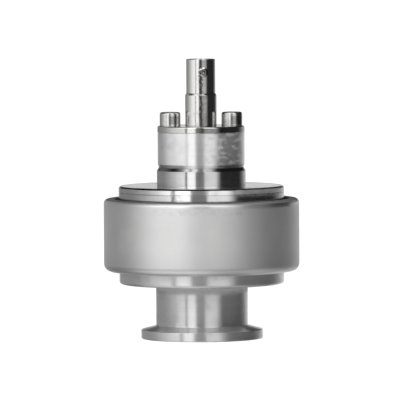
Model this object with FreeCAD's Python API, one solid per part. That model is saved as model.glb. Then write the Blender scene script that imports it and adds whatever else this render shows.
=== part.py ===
import FreeCAD, Part
import math
import os

# Cold cathode vacuum gauge head. Millimetres, +Z up the axis of turning, and the
# origin at the centre of the vacuum flange's sealing face, on which the head stands.
# The camera side is -Y, and the two cap screws lie on the X axis.

# Vacuum flange of size DN 25 and its neck
FLANGE_RADIUS = 20.0
FLANGE_RIM_HEIGHT = 3.0
FLANGE_CONE_DEG = 15.0
FLANGE_EDGE_RADIUS = 0.35
FLANGE_ROOT_RADIUS = 0.5
CHAMBER_RADIUS = 12.5
RECESS_LEDGE = 0.6
RECESS_DEPTH = 3.0
NECK_WALL = 2.6
NECK_HEIGHT = 18.0

# Carrier disc that the magnet casing stands on, and the stacked disc on top
DISC_RADIUS = 27.25
CARRIER_UNDERSIZE = 0.15
CARRIER_THICKNESS = 4.2
CARRIER_EDGE_RADIUS = 1.0

# Magnet casing, ring magnets and pole plates
CASING_GAP = 1.55
CASING_WALL = 3.35
CASING_WEB = 2.0
CASING_CORNER_RADIUS = 2.6
CASING_LIP_HEIGHT = 2.6
LOWER_POLE_THICKNESS = 4.0
MAGNET_THICKNESS = 7.65
UPPER_POLE_THICKNESS = 4.75
PLATE_SEAM_CHAMFER = 0.15
STACK_CLEARANCE = 0.15
POCKET_CLEARANCE = 0.2

# Top flange, its collar and its spigot in the chamber tube
LID_THICKNESS = 2.05
LID_EDGE_RADIUS = 0.8
COLLAR_RADIUS = 14.65
COLLAR_HEIGHT = 6.1
COLLAR_CHAMFER_HEIGHT = 1.1
COLLAR_CHAMFER_DEPTH = 0.65
SPIGOT_LENGTH = 5.25
SPIGOT_WALL = 2.95
SPIGOT_CLEARANCE = 0.05

# Cathode insert and its circlip
CATHODE_PLATE_THICKNESS = 1.0
CATHODE_SLEEVE_HEIGHT = 14.0
CATHODE_SLEEVE_WALL = 0.8
CATHODE_CLEARANCE = 0.1
GAS_HOLE_RADIUS = 1.8
GAS_HOLE_PITCH_RADIUS = 7.2
GAS_HOLE_COUNT = 8
ROD_PASSAGE_GAP = 3.2
CIRCLIP_THICKNESS = 1.2
CIRCLIP_WIDTH = 2.0
CIRCLIP_GAP_DEG = 50.0
CIRCLIP_EAR_RADIUS = 1.8
CIRCLIP_EYE_RADIUS = 0.7
CIRCLIP_GROOVE_DEPTH = 0.6
CIRCLIP_GROOVE_CLEARANCE = 0.05

# Anode ring, rod and ignition aid
ANODE_GAP = 3.6
ANODE_WALL = 0.6
ANODE_HEIGHT = 5.0
CROSSBAR_WIDTH = 2.4
CROSSBAR_THICKNESS = 1.0
HUB_WALL = 1.0
HUB_HEIGHT = 2.0
ROD_RADIUS = 1.0
ROD_END_LENGTH = 0.6
ROD_SHOULDER_REACH = 2.2
ROD_SHOULDER_HEIGHT = 1.2
ROD_CLEARANCE = 0.03
AID_THICKNESS = 0.3
AID_HUB_WALL = 1.0
AID_TIP_REACH = 4.5
AID_POINTS = 6
AID_HEIGHT_OVER_ANODE = 2.0

# Feedthrough insulator, its seals and the clamping pieces
INSULATOR_FLANGE_HEIGHT = 3.5
INSULATOR_NOSE_RADIUS = 4.5
INSULATOR_NOSE_LENGTH = 4.9
INSULATOR_STUB_WALL = 2.5
INSULATOR_STUB_HEIGHT = 2.8
INSULATOR_EDGE_RADIUS = 0.3
SEAT_WALL = 1.15
SEAT_CLEARANCE = 0.2
SEAL_HEIGHT = 1.3
SEAL_CORNER_RADIUS = 0.55
ROD_SEAL_HEIGHT = 1.3
ROD_SEAL_WIDTH = 1.5
PRESSURE_RING_THICKNESS = 1.2
PRESSURE_RING_WIDTH = 2.7
WASHER_WIDTH = 1.5
WASHER_THICKNESS = 0.5
ROD_NUT_ACROSS_FLATS = 4.0
ROD_NUT_HEIGHT = 1.6

# Cap, its plate and the two socket head screws
CAP_UNDERSIZE = 0.325
CAP_HEIGHT = 11.5
CAP_CHAMFER_HEIGHT = 1.1
CAP_CHAMFER_DEPTH = 0.4
CAP_FLOOR_THICKNESS = 1.0
CLAMP_LAND = 1.2
CAVITY_WEB = 1.35
CAP_PLATE_OVERHANG = 0.075
CAP_PLATE_THICKNESS = 2.1
CAP_PLATE_EDGE_RADIUS = 0.45
SCREW_RADIUS = 2.0
SCREW_OFFSET = 10.15
SCREW_HEAD_RADIUS = 3.45
SCREW_HEAD_HEIGHT = 4.5
SCREW_HEAD_EDGE_RADIUS = 0.8
SCREW_ENGAGEMENT = 6.4
SCREW_SOCKET_ACROSS_FLATS = 3.0
SCREW_SOCKET_DEPTH = 2.2
SCREW_POINT_CHAMFER = 0.5
SCREW_HOLE_CLEARANCE = 0.2
TAPPED_HOLE_CLEARANCE = 0.05
TAPPED_HOLE_EXTRA = 0.7

# Insulating sleeve in the cap
SLEEVE_WALL = 1.5
SLEEVE_CLEARANCE = 0.1
SLEEVE_END_GAP = 0.3

# Bayonet connector
BARREL_RADIUS = 4.8
BARREL_HEIGHT = 11.3
BARREL_EDGE_RADIUS = 0.25
BASE_BARREL_STEP = 0.4
BASE_BARREL_HEIGHT = 10.6
BARREL_SHOULDER_HEIGHT = 0.6
SHELL_WALL = 0.75
SHELL_BORE_DEPTH = 9.0
LUG_RADIUS = 1.0
LUG_HEIGHT = 0.7
LUG_FROM_TOP = 4.3
LUG_AZIMUTH_DEG = -80.0
SHELL_TAIL_RADIUS = 4.0
SHELL_TAIL_WALL = 0.8
SHELL_TAIL_CLEARANCE = 0.1
SHELL_TAIL_EXTRA = 1.0
SHELL_NUT_ACROSS_FLATS = 10.4
SHELL_NUT_HEIGHT = 2.5
CORE_CLEARANCE = 0.05
CORE_FLANGE_HEIGHT = 1.5
CORE_NOSE_WALL = 1.32
CORE_NOSE_RECESS = 1.7
CONTACT_RADIUS = 1.1
CONTACT_LENGTH = 11.0
CONTACT_RECESS = 0.4
CONTACT_WALL = 0.42
CONTACT_BORE_DEPTH = 5.0
CONTACT_SLOT = 0.3

# Slotted clip between the contact's tail and the rod's tip
ROD_TIP_LENGTH = 2.4
CLIP_WALL = 0.8
CLIP_GRIP = 2.0
CLIP_TIP_GAP = 0.4
CLIP_SLOT = 0.4
CLIP_TOP_GAP = 0.2

FULL_TURN = 360.0
# A cutting tool reaches this far past the face that it opens
CUT_OVERRUN = 1.0
# A corner's tangent takes at most this share of the shorter side beside it
FILLET_SHARE = 0.45
HEX_SIDES = 6

# Levels of the outer stack, from the sealing face up
neck_radius = CHAMBER_RADIUS + NECK_WALL
flange_top = FLANGE_RIM_HEIGHT + (FLANGE_RADIUS - neck_radius) * math.tan(math.radians(FLANGE_CONE_DEG))
carrier_top = NECK_HEIGHT + CARRIER_THICKNESS
casing_floor = carrier_top + CASING_WEB
lower_pole_top = casing_floor + LOWER_POLE_THICKNESS
magnet_joint = lower_pole_top + MAGNET_THICKNESS
magnet_top = magnet_joint + MAGNET_THICKNESS
casing_top = magnet_top + CASING_LIP_HEIGHT
pole_top = magnet_top + UPPER_POLE_THICKNESS
lid_top = pole_top + LID_THICKNESS
collar_top = lid_top + COLLAR_HEIGHT
cap_top = collar_top + CAP_HEIGHT
plate_top = cap_top + CAP_PLATE_THICKNESS
base_barrel_top = plate_top + BASE_BARREL_HEIGHT
barrel_top = base_barrel_top + BARREL_HEIGHT

# Radii that follow from a fit, a wall or a step
recess_radius = CHAMBER_RADIUS + RECESS_LEDGE
carrier_radius = DISC_RADIUS - CARRIER_UNDERSIZE
casing_pocket = DISC_RADIUS + CASING_GAP
casing_radius = casing_pocket + CASING_WALL
stack_bore = neck_radius + STACK_CLEARANCE
stack_radius = casing_pocket - POCKET_CLEARANCE
spigot_radius = CHAMBER_RADIUS - SPIGOT_CLEARANCE
insert_radius = CHAMBER_RADIUS - CATHODE_CLEARANCE
groove_radius = CHAMBER_RADIUS + CIRCLIP_GROOVE_DEPTH
anode_radius = insert_radius - CATHODE_SLEEVE_WALL - ANODE_GAP
rod_bore = ROD_RADIUS + ROD_CLEARANCE
tapped_hole = SCREW_RADIUS + TAPPED_HOLE_CLEARANCE
screw_hole = SCREW_RADIUS + SCREW_HOLE_CLEARANCE
seat_radius = SCREW_OFFSET - SCREW_RADIUS - SEAT_WALL
seat_piece_radius = seat_radius - SEAT_CLEARANCE
cavity_radius = SCREW_OFFSET - screw_hole - CAVITY_WEB
cap_radius = COLLAR_RADIUS - CAP_UNDERSIZE
cap_plate_radius = cap_radius + CAP_PLATE_OVERHANG
base_barrel_radius = BARREL_RADIUS + BASE_BARREL_STEP
shell_bore_radius = BARREL_RADIUS - SHELL_WALL
shell_core_radius = SHELL_TAIL_RADIUS - SHELL_TAIL_WALL

# Levels of the cathode insert, hung from the spigot's end down to the circlip
upper_plate_top = pole_top - SPIGOT_LENGTH
sleeve_top = upper_plate_top - CATHODE_PLATE_THICKNESS
sleeve_bottom = sleeve_top - CATHODE_SLEEVE_HEIGHT
lower_plate_bottom = sleeve_bottom - CATHODE_PLATE_THICKNESS
circlip_bottom = lower_plate_bottom - CIRCLIP_THICKNESS
anode_bottom = (sleeve_top + sleeve_bottom - ANODE_HEIGHT) / 2
anode_top = anode_bottom + ANODE_HEIGHT

# Levels of the feedthrough, from its seat in the collar
pressure_ring_bottom = collar_top - PRESSURE_RING_THICKNESS
insulator_flange_bottom = pressure_ring_bottom - INSULATOR_FLANGE_HEIGHT
seat_floor = insulator_flange_bottom - SEAL_HEIGHT
nose_bottom = seat_floor - INSULATOR_NOSE_LENGTH
stub_top = pressure_ring_bottom + INSULATOR_STUB_HEIGHT
washer_top = stub_top + WASHER_THICKNESS
rod_nut_top = washer_top + ROD_NUT_HEIGHT
rod_tip = rod_nut_top + ROD_TIP_LENGTH

# Levels of the connector's inside and tail
shell_bore_floor = barrel_top - SHELL_BORE_DEPTH
core_top = barrel_top - CORE_NOSE_RECESS
contact_top = core_top - CONTACT_RECESS
shell_nut_bottom = cap_top - SHELL_NUT_HEIGHT
shell_tail_bottom = shell_nut_bottom - SHELL_TAIL_EXTRA
contact_tail_bottom = rod_tip + CLIP_TIP_GAP
clip_bottom = rod_tip - CLIP_GRIP
clip_top = contact_tail_bottom + CLIP_GRIP
core_bottom = clip_top + CLIP_TOP_GAP


def corner_arc(before, corner, after, radius):
    """Arc of the radius, tangent to both sides of a corner. A short side limits it."""
    back = before - corner
    ahead = after - corner
    half_angle = back.getAngle(ahead) / 2
    reach = min(radius / math.tan(half_angle), FILLET_SHARE * min(back.Length, ahead.Length))
    radius = reach * math.tan(half_angle)
    back.normalize()
    ahead.normalize()
    inward = (back + ahead).normalize()
    middle = corner + inward * (radius / math.sin(half_angle) - radius)
    return Part.Arc(corner + back * reach, middle, corner + ahead * reach)


def turned(outline):
    """Solid turned about Z from a closed outline of (radius, z) or (radius, z, corner radius)."""
    corners = [FreeCAD.Vector(point[0], 0, point[1]) for point in outline]
    stretches = []
    for index, (_, _, *rounding) in enumerate(outline):
        corner = corners[index]
        if rounding:
            arc = corner_arc(corners[index - 1], corner, corners[(index + 1) % len(corners)], *rounding)
            stretches.append((arc.StartPoint, arc.toShape(), arc.EndPoint))
        else:
            stretches.append((corner, None, corner))
    edges = []
    for index, (start, arc, end) in enumerate(stretches):
        following = stretches[(index + 1) % len(stretches)][0]
        if arc is not None:
            edges.append(arc)
        edges.append(Part.LineSegment(end, following).toShape())
    face = Part.Face(Part.Wire(edges))
    return face.revolve(FreeCAD.Vector(0, 0, 0), FreeCAD.Vector(0, 0, 1), FULL_TURN)


def ring(inner, outer, bottom, top):
    """Plain turned ring between two radii and two levels."""
    return turned([(inner, bottom), (outer, bottom), (outer, top), (inner, top)])


def rod(radius, bottom, top, x=0.0, y=0.0):
    """Upright cylinder between two levels."""
    return Part.makeCylinder(radius, top - bottom, FreeCAD.Vector(x, y, bottom))


def hex_bar(across_flats, bottom, top, x=0.0):
    """Upright hexagonal bar between two levels, two of its flats across X."""
    corner_radius = across_flats / 2 / math.cos(math.pi / HEX_SIDES)
    corners = []
    for index in range(HEX_SIDES + 1):
        angle = math.pi * (2 * index + 1) / HEX_SIDES
        corners.append(FreeCAD.Vector(x + corner_radius * math.cos(angle),
                                      corner_radius * math.sin(angle), bottom))
    face = Part.Face(Part.makePolygon(corners))
    return face.extrude(FreeCAD.Vector(0, 0, top - bottom))


def slot_cutter(width, reach, bottom, top):
    """Two crossed upright slabs through the axis, which cut four slots in a tube."""
    slab = Part.makeBox(2 * reach, width, top - bottom, FreeCAD.Vector(-reach, -width / 2, bottom))
    crossed = slab.copy()
    crossed.rotate(FreeCAD.Vector(0, 0, 0), FreeCAD.Vector(0, 0, 1), FULL_TURN / 4)
    return slab.fuse(crossed)


def around(shape, count):
    """Copies of a shape, evenly turned about the axis."""
    copies = []
    for index in range(count):
        turned_copy = shape.copy()
        turned_copy.rotate(FreeCAD.Vector(0, 0, 0), FreeCAD.Vector(0, 0, 1), FULL_TURN * index / count)
        copies.append(turned_copy)
    return copies


def screw_pair(shape):
    """The shape, made at the right-hand screw, and its twin at the left-hand one."""
    return around(shape, 2)


def gauge_body():
    """Vacuum flange, neck, carrier disc and chamber tube, turned from one bar."""
    groove_bottom = circlip_bottom - CIRCLIP_GROOVE_CLEARANCE
    return turned([
        (recess_radius, 0),
        (FLANGE_RADIUS, 0, FLANGE_EDGE_RADIUS),
        (FLANGE_RADIUS, FLANGE_RIM_HEIGHT, FLANGE_EDGE_RADIUS),
        (neck_radius, flange_top, FLANGE_ROOT_RADIUS),
        (neck_radius, NECK_HEIGHT),
        (carrier_radius, NECK_HEIGHT, CARRIER_EDGE_RADIUS),
        (carrier_radius, carrier_top),
        (neck_radius, carrier_top),
        (neck_radius, pole_top),
        (CHAMBER_RADIUS, pole_top),
        (CHAMBER_RADIUS, lower_plate_bottom),
        (groove_radius, lower_plate_bottom),
        (groove_radius, groove_bottom),
        (CHAMBER_RADIUS, groove_bottom),
        (CHAMBER_RADIUS, RECESS_DEPTH),
        (recess_radius, RECESS_DEPTH),
    ])


def magnet_casing():
    """Thick cup round the magnets, with large outer corners and an open top."""
    return turned([
        (stack_bore, carrier_top),
        (casing_radius, carrier_top, CASING_CORNER_RADIUS),
        (casing_radius, casing_top, CASING_CORNER_RADIUS),
        (casing_pocket, casing_top),
        (casing_pocket, casing_floor),
        (stack_bore, casing_floor),
    ])


def lower_pole_plate():
    return ring(stack_bore, stack_radius, casing_floor, lower_pole_top)


def lower_magnet():
    return ring(stack_bore, stack_radius, lower_pole_top, magnet_joint)


def upper_magnet():
    return ring(stack_bore, stack_radius, magnet_joint, magnet_top)


def upper_pole_plate():
    """Iron disc on the magnets. Its top edge is broken where it meets the lid."""
    return turned([
        (stack_bore, magnet_top),
        (DISC_RADIUS, magnet_top),
        (DISC_RADIUS, pole_top - PLATE_SEAM_CHAMFER),
        (DISC_RADIUS - PLATE_SEAM_CHAMFER, pole_top),
        (stack_bore, pole_top),
    ])


def top_flange():
    """Lid disc, collar above it, spigot below it, insulator seat and two tapped holes."""
    flange = turned([
        (INSULATOR_NOSE_RADIUS + SEAT_CLEARANCE, pole_top),
        (spigot_radius - SPIGOT_WALL, pole_top),
        (spigot_radius - SPIGOT_WALL, upper_plate_top),
        (spigot_radius, upper_plate_top),
        (spigot_radius, pole_top),
        (DISC_RADIUS - PLATE_SEAM_CHAMFER, pole_top),
        (DISC_RADIUS, pole_top + PLATE_SEAM_CHAMFER),
        (DISC_RADIUS, lid_top, LID_EDGE_RADIUS),
        (COLLAR_RADIUS, lid_top),
        (COLLAR_RADIUS, collar_top - COLLAR_CHAMFER_HEIGHT),
        (COLLAR_RADIUS - COLLAR_CHAMFER_DEPTH, collar_top),
        (seat_radius, collar_top),
        (seat_radius, seat_floor),
        (INSULATOR_NOSE_RADIUS + SEAT_CLEARANCE, seat_floor),
    ])
    hole_bottom = collar_top - SCREW_ENGAGEMENT - TAPPED_HOLE_EXTRA
    hole = rod(tapped_hole, hole_bottom, collar_top + CUT_OVERRUN, SCREW_OFFSET)
    return flange.cut(screw_pair(hole))


def cathode_sleeve():
    return ring(insert_radius - CATHODE_SLEEVE_WALL, insert_radius, sleeve_bottom, sleeve_top)


def upper_cathode_plate():
    return ring(ROD_RADIUS + ROD_PASSAGE_GAP, insert_radius, sleeve_top, upper_plate_top)


def lower_cathode_plate():
    """Disc with a circle of gas holes."""
    plate = rod(insert_radius, lower_plate_bottom, sleeve_bottom)
    hole = rod(GAS_HOLE_RADIUS, lower_plate_bottom - CUT_OVERRUN, sleeve_bottom + CUT_OVERRUN,
               GAS_HOLE_PITCH_RADIUS)
    return plate.cut(around(hole, GAS_HOLE_COUNT))


def retaining_circlip():
    """Open ring in the chamber's groove, with an eyed ear at each side of its gap."""
    outer = groove_radius - CIRCLIP_GROOVE_CLEARANCE
    inner = outer - CIRCLIP_WIDTH
    arc_deg = FULL_TURN - CIRCLIP_GAP_DEG
    section = Part.makePolygon([
        FreeCAD.Vector(inner, 0, circlip_bottom),
        FreeCAD.Vector(outer, 0, circlip_bottom),
        FreeCAD.Vector(outer, 0, lower_plate_bottom),
        FreeCAD.Vector(inner, 0, lower_plate_bottom),
        FreeCAD.Vector(inner, 0, circlip_bottom),
    ])
    clip = Part.Face(section).revolve(FreeCAD.Vector(0, 0, 0), FreeCAD.Vector(0, 0, 1), arc_deg)
    clip.rotate(FreeCAD.Vector(0, 0, 0), FreeCAD.Vector(0, 0, 1), CIRCLIP_GAP_DEG / 2)
    ear_deg = CIRCLIP_GAP_DEG / 2 + math.degrees(math.asin(CIRCLIP_EAR_RADIUS / inner))
    eyes = []
    for side in (1, -1):
        angle = math.radians(side * ear_deg)
        x = (inner - CIRCLIP_EYE_RADIUS) * math.cos(angle)
        y = (inner - CIRCLIP_EYE_RADIUS) * math.sin(angle)
        clip = clip.fuse(rod(CIRCLIP_EAR_RADIUS, circlip_bottom, lower_plate_bottom, x, y))
        eyes.append(rod(CIRCLIP_EYE_RADIUS, circlip_bottom - CUT_OVERRUN,
                        lower_plate_bottom + CUT_OVERRUN, x, y))
    return clip.cut(eyes).removeSplitter()


def anode_ring():
    """Short tube with a crossbar and a hub at its top, bored for the rod."""
    tube = ring(anode_radius - ANODE_WALL, anode_radius, anode_bottom, anode_top)
    half_bar = anode_radius - ANODE_WALL / 2
    bar = Part.makeBox(2 * half_bar, CROSSBAR_WIDTH, CROSSBAR_THICKNESS,
                       FreeCAD.Vector(-half_bar, -CROSSBAR_WIDTH / 2, anode_top - CROSSBAR_THICKNESS))
    hub = rod(ROD_RADIUS + HUB_WALL, anode_top - HUB_HEIGHT, anode_top)
    bore = rod(rod_bore, anode_bottom, anode_top + CUT_OVERRUN)
    return tube.fuse([bar, hub]).removeSplitter().cut(bore)


def anode_rod():
    """Rod with the shoulder that draws up against the insulator's nose."""
    return turned([
        (0, anode_top - HUB_HEIGHT - ROD_END_LENGTH),
        (ROD_RADIUS, anode_top - HUB_HEIGHT - ROD_END_LENGTH),
        (ROD_RADIUS, nose_bottom - ROD_SHOULDER_HEIGHT),
        (ROD_RADIUS + ROD_SHOULDER_REACH, nose_bottom - ROD_SHOULDER_HEIGHT),
        (ROD_RADIUS + ROD_SHOULDER_REACH, nose_bottom),
        (ROD_RADIUS, nose_bottom),
        (ROD_RADIUS, rod_tip),
        (0, rod_tip),
    ])


def ignition_aid():
    """Thin star on the rod, over the anode ring."""
    bottom = anode_top + AID_HEIGHT_OVER_ANODE
    corners = []
    for index in range(2 * AID_POINTS + 1):
        angle = math.pi * index / AID_POINTS
        reach = ROD_RADIUS + (AID_TIP_REACH if index % 2 == 0 else AID_HUB_WALL)
        corners.append(FreeCAD.Vector(reach * math.cos(angle), reach * math.sin(angle), bottom))
    star = Part.Face(Part.makePolygon(corners)).extrude(FreeCAD.Vector(0, 0, AID_THICKNESS))
    return star.cut(rod(rod_bore, bottom - CUT_OVERRUN, bottom + AID_THICKNESS + CUT_OVERRUN))


def feedthrough_insulator():
    """Ceramic with a clamped flange, a nose into the chamber and a stub into the cap."""
    recess_radius = ROD_RADIUS + ROD_CLEARANCE + ROD_SEAL_WIDTH + ROD_CLEARANCE
    return turned([
        (recess_radius, nose_bottom),
        (INSULATOR_NOSE_RADIUS, nose_bottom, INSULATOR_EDGE_RADIUS),
        (INSULATOR_NOSE_RADIUS, insulator_flange_bottom),
        (seat_piece_radius, insulator_flange_bottom, INSULATOR_EDGE_RADIUS),
        (seat_piece_radius, pressure_ring_bottom, INSULATOR_EDGE_RADIUS),
        (ROD_RADIUS + INSULATOR_STUB_WALL, pressure_ring_bottom),
        (ROD_RADIUS + INSULATOR_STUB_WALL, stub_top, INSULATOR_EDGE_RADIUS),
        (rod_bore, stub_top),
        (rod_bore, nose_bottom + ROD_SEAL_HEIGHT),
        (recess_radius, nose_bottom + ROD_SEAL_HEIGHT),
    ])


def pressed_seal(inner, outer, bottom, height):
    """Rubber ring as it lies when squeezed: flat faces and round sides."""
    top = bottom + height
    return turned([
        (inner, bottom, SEAL_CORNER_RADIUS),
        (outer, bottom, SEAL_CORNER_RADIUS),
        (outer, top, SEAL_CORNER_RADIUS),
        (inner, top, SEAL_CORNER_RADIUS),
    ])


def feedthrough_seal():
    inner = INSULATOR_NOSE_RADIUS + SPIGOT_CLEARANCE
    return pressed_seal(inner, seat_piece_radius, seat_floor, SEAL_HEIGHT)


def rod_seal():
    inner = ROD_RADIUS + ROD_CLEARANCE
    return pressed_seal(inner, inner + ROD_SEAL_WIDTH, nose_bottom, ROD_SEAL_HEIGHT)


def rod_washer():
    return ring(rod_bore, ROD_RADIUS + WASHER_WIDTH, stub_top, washer_top)


def rod_nut():
    nut = hex_bar(ROD_NUT_ACROSS_FLATS, washer_top, rod_nut_top)
    return nut.cut(rod(rod_bore, washer_top - CUT_OVERRUN, rod_nut_top + CUT_OVERRUN))


def pressure_ring():
    return ring(seat_piece_radius - PRESSURE_RING_WIDTH, seat_piece_radius,
                pressure_ring_bottom, collar_top)


def cap_body():
    """Cap with a chamfered foot, a cavity for the live joint and two screw holes."""
    floor_top = collar_top + CAP_FLOOR_THICKNESS
    body = turned([
        (seat_piece_radius - CLAMP_LAND, collar_top),
        (cap_radius - CAP_CHAMFER_DEPTH, collar_top),
        (cap_radius, collar_top + CAP_CHAMFER_HEIGHT),
        (cap_radius, cap_top - PLATE_SEAM_CHAMFER),
        (cap_radius - PLATE_SEAM_CHAMFER, cap_top),
        (cavity_radius, cap_top),
        (cavity_radius, floor_top),
        (seat_piece_radius - CLAMP_LAND, floor_top),
    ])
    hole = rod(screw_hole, collar_top - CUT_OVERRUN, cap_top + CUT_OVERRUN, SCREW_OFFSET)
    return body.cut(screw_pair(hole))


def cap_plate():
    """Plate on the cap, bored for the connector's tail and the two screws."""
    plate = turned([
        (SHELL_TAIL_RADIUS + SHELL_TAIL_CLEARANCE, cap_top),
        (cap_plate_radius - PLATE_SEAM_CHAMFER, cap_top),
        (cap_plate_radius, cap_top + PLATE_SEAM_CHAMFER),
        (cap_plate_radius, plate_top, CAP_PLATE_EDGE_RADIUS),
        (SHELL_TAIL_RADIUS + SHELL_TAIL_CLEARANCE, plate_top),
    ])
    hole = rod(screw_hole, cap_top - CUT_OVERRUN, plate_top + CUT_OVERRUN, SCREW_OFFSET)
    return plate.cut(screw_pair(hole))


def cap_screws():
    """Two socket head cap screws, down through plate and cap into the collar."""
    point = collar_top - SCREW_ENGAGEMENT
    head_top = plate_top + SCREW_HEAD_HEIGHT
    screw = turned([
        (0, point),
        (SCREW_RADIUS - SCREW_POINT_CHAMFER, point),
        (SCREW_RADIUS, point + SCREW_POINT_CHAMFER),
        (SCREW_RADIUS, plate_top),
        (SCREW_HEAD_RADIUS, plate_top),
        (SCREW_HEAD_RADIUS, head_top, SCREW_HEAD_EDGE_RADIUS),
        (0, head_top),
    ])
    socket = hex_bar(SCREW_SOCKET_ACROSS_FLATS, head_top - SCREW_SOCKET_DEPTH, head_top + CUT_OVERRUN)
    screw = screw.cut(socket)
    screw.translate(FreeCAD.Vector(SCREW_OFFSET, 0, 0))
    return Part.makeCompound(screw_pair(screw))


def hv_sleeve():
    outer = cavity_radius - SLEEVE_CLEARANCE
    bottom = collar_top + CAP_FLOOR_THICKNESS
    return ring(outer - SLEEVE_WALL, outer, bottom, shell_nut_bottom - SLEEVE_END_GAP)


def connector_shell():
    """Bayonet receptacle: barrel with two lugs, stouter base barrel and threaded tail."""
    shell = turned([
        (shell_core_radius, shell_tail_bottom),
        (SHELL_TAIL_RADIUS, shell_tail_bottom),
        (SHELL_TAIL_RADIUS, plate_top),
        (base_barrel_radius, plate_top),
        (base_barrel_radius, base_barrel_top - BARREL_SHOULDER_HEIGHT),
        (BARREL_RADIUS, base_barrel_top),
        (BARREL_RADIUS, barrel_top, BARREL_EDGE_RADIUS),
        (shell_bore_radius, barrel_top, BARREL_EDGE_RADIUS),
        (shell_bore_radius, shell_bore_floor),
        (shell_core_radius, shell_bore_floor),
    ])
    lug_root = (shell_bore_radius + BARREL_RADIUS) / 2
    lug = Part.makeCylinder(LUG_RADIUS, BARREL_RADIUS + LUG_HEIGHT - lug_root,
                            FreeCAD.Vector(lug_root, 0, barrel_top - LUG_FROM_TOP),
                            FreeCAD.Vector(1, 0, 0))
    lug.rotate(FreeCAD.Vector(0, 0, 0), FreeCAD.Vector(0, 0, 1), LUG_AZIMUTH_DEG)
    return shell.fuse(around(lug, 2)).removeSplitter()


def connector_nut():
    nut = hex_bar(SHELL_NUT_ACROSS_FLATS, shell_nut_bottom, cap_top)
    bore = SHELL_TAIL_RADIUS + CORE_CLEARANCE
    return nut.cut(rod(bore, shell_nut_bottom - CUT_OVERRUN, cap_top + CUT_OVERRUN))


def connector_insulator():
    """Insulator with a flange on the shell's bore floor and a nose round the contact."""
    bore = CONTACT_RADIUS + ROD_CLEARANCE
    core = turned([
        (rod_bore, core_bottom),
        (shell_core_radius - CORE_CLEARANCE, core_bottom),
        (shell_core_radius - CORE_CLEARANCE, shell_bore_floor),
        (shell_bore_radius - CORE_CLEARANCE, shell_bore_floor),
        (shell_bore_radius - CORE_CLEARANCE, shell_bore_floor + CORE_FLANGE_HEIGHT),
        (bore + CORE_NOSE_WALL, shell_bore_floor + CORE_FLANGE_HEIGHT),
        (bore + CORE_NOSE_WALL, core_top, INSULATOR_EDGE_RADIUS),
        (bore, core_top),
        (bore, contact_top - CONTACT_LENGTH),
        (rod_bore, contact_top - CONTACT_LENGTH),
    ])
    return core


def connector_contact():
    """Slotted centre socket with a tail that reaches down to the rod."""
    shoulder = contact_top - CONTACT_LENGTH
    contact_bore = CONTACT_RADIUS - CONTACT_WALL
    contact = turned([
        (0, contact_tail_bottom),
        (ROD_RADIUS, contact_tail_bottom),
        (ROD_RADIUS, shoulder),
        (CONTACT_RADIUS, shoulder),
        (CONTACT_RADIUS, contact_top),
        (contact_bore, contact_top),
        (contact_bore, contact_top - CONTACT_BORE_DEPTH),
        (0, contact_top - CONTACT_BORE_DEPTH),
    ])
    slots = slot_cutter(CONTACT_SLOT, CONTACT_RADIUS + CUT_OVERRUN,
                        contact_top - CONTACT_BORE_DEPTH, contact_top + CUT_OVERRUN)
    return contact.cut(slots)


def contact_clip():
    """Tube slotted at both ends, gripping the rod's tip and the contact's tail."""
    clip = ring(rod_bore, rod_bore + CLIP_WALL, clip_bottom, clip_top)
    reach = rod_bore + CLIP_WALL + CUT_OVERRUN
    lower_slots = slot_cutter(CLIP_SLOT, reach, clip_bottom - CUT_OVERRUN, clip_bottom + CLIP_GRIP)
    upper_slots = slot_cutter(CLIP_SLOT, reach, clip_top - CLIP_GRIP, clip_top + CUT_OVERRUN)
    return clip.cut([lower_slots, upper_slots])


SUBPARTS = [
    gauge_body, magnet_casing, lower_pole_plate, lower_magnet, upper_magnet, upper_pole_plate,
    top_flange, cathode_sleeve, lower_cathode_plate, upper_cathode_plate, retaining_circlip,
    anode_ring, anode_rod, ignition_aid, feedthrough_insulator, feedthrough_seal, rod_seal,
    rod_washer, rod_nut, pressure_ring, cap_body, cap_plate, cap_screws, hv_sleeve,
    connector_shell, connector_nut, connector_insulator, connector_contact, contact_clip,
]

os.makedirs("parts", exist_ok=True)
for make in SUBPARTS:
    shape = make()
    shape.exportStep("parts/" + make.__name__ + ".step")
    print(make.__name__, "solids", len(shape.Solids), "volume", round(shape.Volume, 2),
          "valid", shape.isValid())
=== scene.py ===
import math

import bmesh
import bpy
import numpy as np
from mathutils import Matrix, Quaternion, Vector


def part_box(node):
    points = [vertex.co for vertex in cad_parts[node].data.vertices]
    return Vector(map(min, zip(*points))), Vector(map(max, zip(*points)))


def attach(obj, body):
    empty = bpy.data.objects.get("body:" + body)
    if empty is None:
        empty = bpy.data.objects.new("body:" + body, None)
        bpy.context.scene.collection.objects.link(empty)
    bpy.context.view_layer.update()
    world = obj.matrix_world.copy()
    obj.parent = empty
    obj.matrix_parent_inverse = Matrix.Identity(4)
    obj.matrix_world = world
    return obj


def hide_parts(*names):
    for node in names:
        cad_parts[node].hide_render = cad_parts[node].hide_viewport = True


# Looks of the cold cathode gauge head: turned, blasted and plated metal round the
# fixed frame. Sizes in this script are millimetres until a mesh is written.

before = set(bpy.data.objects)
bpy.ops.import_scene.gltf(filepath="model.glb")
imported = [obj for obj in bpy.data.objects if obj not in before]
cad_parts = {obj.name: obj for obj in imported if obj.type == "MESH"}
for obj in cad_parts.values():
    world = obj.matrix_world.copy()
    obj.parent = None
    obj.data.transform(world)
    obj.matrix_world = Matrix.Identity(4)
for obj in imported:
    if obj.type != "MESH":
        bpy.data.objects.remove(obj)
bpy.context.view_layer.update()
MM = 0.001
FULL_TURN = 2 * math.pi

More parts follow.
